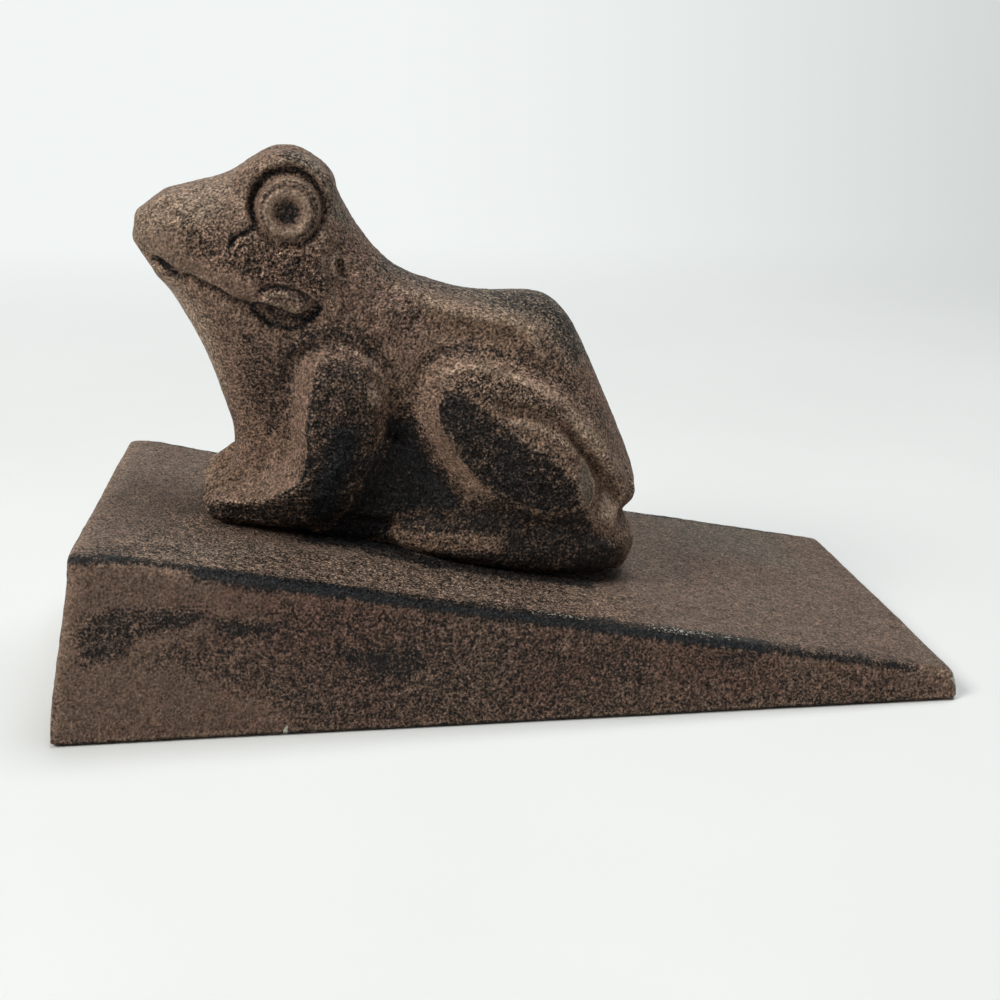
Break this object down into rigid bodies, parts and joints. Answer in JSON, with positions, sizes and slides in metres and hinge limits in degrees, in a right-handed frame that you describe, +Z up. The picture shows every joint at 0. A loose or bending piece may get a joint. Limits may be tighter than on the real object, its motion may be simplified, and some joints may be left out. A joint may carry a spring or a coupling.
{
  "type": "door wedge",
  "caption": "Cast iron door wedge: a hollow sloping wedge with a sitting frog figure on its ramp, held by screws from below.",
  "frame": {"origin": "on the floor, under the middle of the object's box", "axes": "+X along the wedge from the thick end to the thin tip, +Y across it, towards the frog's right side, +Z up"},
  "size_m": [0.1494, 0.068, 0.0889],
  "materials": {
    "wedge_iron": "rough sand-cast iron, thin rust-brown coat, worn black paint in patches",
    "frog_iron": "rough sand-cast iron, thin rust-brown coat, black paint left in the hollows",
    "screw_steel": "dull zinc-plated steel",
    "washer_steel": "dull zinc-plated steel"
  },
  "bodies": {
    "root": {"wedge_base": "wedge_iron", "frog": "frog_iron", "front_screw": "screw_steel", "rear_screw": "screw_steel", "front_washer": "washer_steel", "rear_washer": "washer_steel"}
  },
  "joints": []
}
